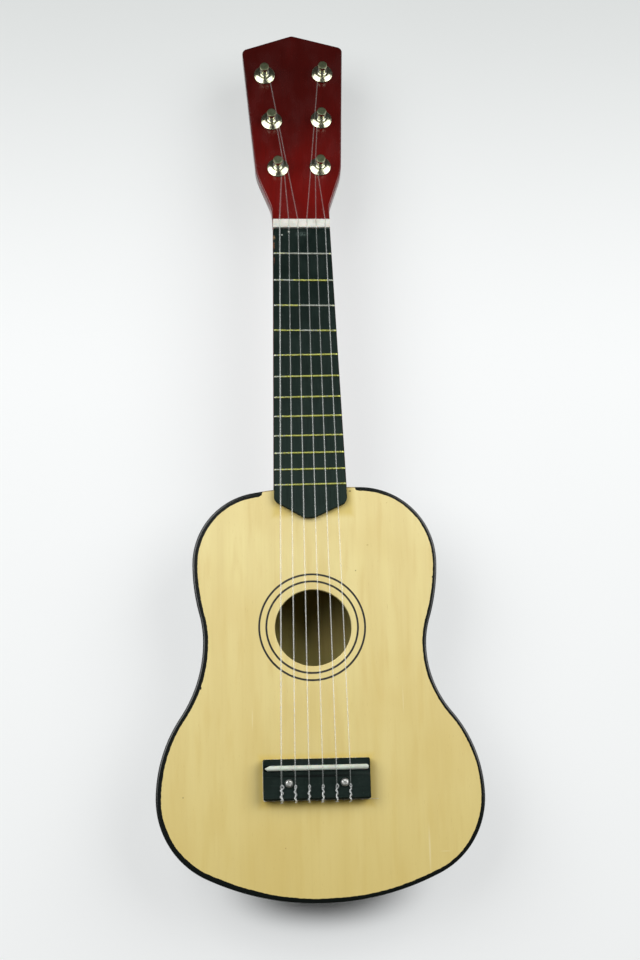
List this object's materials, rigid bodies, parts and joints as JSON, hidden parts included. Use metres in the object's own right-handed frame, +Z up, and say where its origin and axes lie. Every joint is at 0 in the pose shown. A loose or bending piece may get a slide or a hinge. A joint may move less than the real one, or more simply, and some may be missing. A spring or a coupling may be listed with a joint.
{
  "type": "toy guitar",
  "caption": "Small worn acoustic toy guitar: flat pale soundboard with black edges, red neck and headstock, black fretboard, nylon strings and friction pegs.",
  "frame": {"origin": "on the back's flat underside, on the soundbox's centreline, straight below the saddle line", "axes": "+Y towards the headstock, +X towards the treble side, +Z up from the back to the soundboard"},
  "size_m": [0.2002, 0.5798, 0.0668],
  "materials": {
    "soundboard_ply": "pale plywood under a thin satin lacquer",
    "black_lacquered_ply": "gloss black lacquer on plywood",
    "bare_pine": "bare sawn softwood",
    "red_stained_wood": "red stain under clear gloss lacquer",
    "black_stained_wood": "black stain, worn satin",
    "fret_wire": "dull, plating worn",
    "white_plastic": "cut white plastic",
    "zinc_screws": "zinc plated",
    "clear_nylon": "clear drawn nylon",
    "nickel_plate": "nickel plate, slightly dull",
    "white_button_plastic": "moulded"
  },
  "bodies": {
    "instrument": {"soundboard": "soundboard_ply", "back_plate": "black_lacquered_ply", "side_bass": "black_lacquered_ply", "side_treble": "black_lacquered_ply", "neck_block": "bare_pine", "tail_block": "bare_pine", "lining_top_bass": "bare_pine", "lining_top_treble": "bare_pine", "lining_back_bass": "bare_pine", "lining_back_treble": "bare_pine", "brace_top_upper": "bare_pine", "brace_top_lower": "bare_pine", "brace_back_upper": "bare_pine", "brace_back_lower": "bare_pine", "bridge_plate": "bare_pine", "neck": "red_stained_wood", "fretboard": "black_stained_wood", "fret_01": "fret_wire", "fret_02": "fret_wire", "fret_03": "fret_wire", "fret_04": "fret_wire", "fret_05": "fret_wire", "fret_06": "fret_wire", "fret_07": "fret_wire", "fret_08": "fret_wire", "fret_09": "fret_wire", "fret_10": "fret_wire", "fret_11": "fret_wire", "fret_12": "fret_wire", "nut": "white_plastic", "saddle": "white_plastic", "bridge": "black_stained_wood", "bridge_screws": "zinc_screws", "string_1": "clear_nylon", "string_2": "clear_nylon", "string_3": "clear_nylon", "string_4": "clear_nylon", "string_5": "clear_nylon", "string_6": "clear_nylon", "peg_ferrules": "nickel_plate", "peg_washers": "nickel_plate"},
    "peg_1": {"peg_post_1": "nickel_plate", "peg_button_1": "white_button_plastic", "peg_screw_1": "zinc_screws"},
    "peg_2": {"peg_post_2": "nickel_plate", "peg_button_2": "white_button_plastic", "peg_screw_2": "zinc_screws"},
    "peg_3": {"peg_post_3": "nickel_plate", "peg_button_3": "white_button_plastic", "peg_screw_3": "zinc_screws"},
    "peg_4": {"peg_post_4": "nickel_plate", "peg_button_4": "white_button_plastic", "peg_screw_4": "zinc_screws"},
    "peg_5": {"peg_post_5": "nickel_plate", "peg_button_5": "white_button_plastic", "peg_screw_5": "zinc_screws"},
    "peg_6": {"peg_post_6": "nickel_plate", "peg_button_6": "white_button_plastic", "peg_screw_6": "zinc_screws"}
  },
  "joints": [
    {"name": "peg_turn_1", "type": "hinge", "parent": "instrument", "child": "peg_1", "pos_m": [-0.01895, 0.39581, 0.05146], "axis": [-0.0026, 0.1097, 0.994], "continuous": true},
    {"name": "peg_turn_2", "type": "hinge", "parent": "instrument", "child": "peg_2", "pos_m": [-0.02261, 0.43201, 0.04745], "axis": [-0.0026, 0.1097, 0.994], "continuous": true},
    {"name": "peg_turn_3", "type": "hinge", "parent": "instrument", "child": "peg_3", "pos_m": [-0.02686, 0.4682, 0.04345], "axis": [-0.0026, 0.1097, 0.994], "continuous": true},
    {"name": "peg_turn_4", "type": "hinge", "parent": "instrument", "child": "peg_4", "pos_m": [0.01283, 0.46913, 0.04345], "axis": [-0.0026, 0.1097, 0.994], "continuous": true},
    {"name": "peg_turn_5", "type": "hinge", "parent": "instrument", "child": "peg_5", "pos_m": [0.01119, 0.43281, 0.04745], "axis": [-0.0026, 0.1097, 0.994], "continuous": true},
    {"name": "peg_turn_6", "type": "hinge", "parent": "instrument", "child": "peg_6", "pos_m": [0.00954, 0.39648, 0.05146], "axis": [-0.0026, 0.1097, 0.994], "continuous": true}
  ]
}
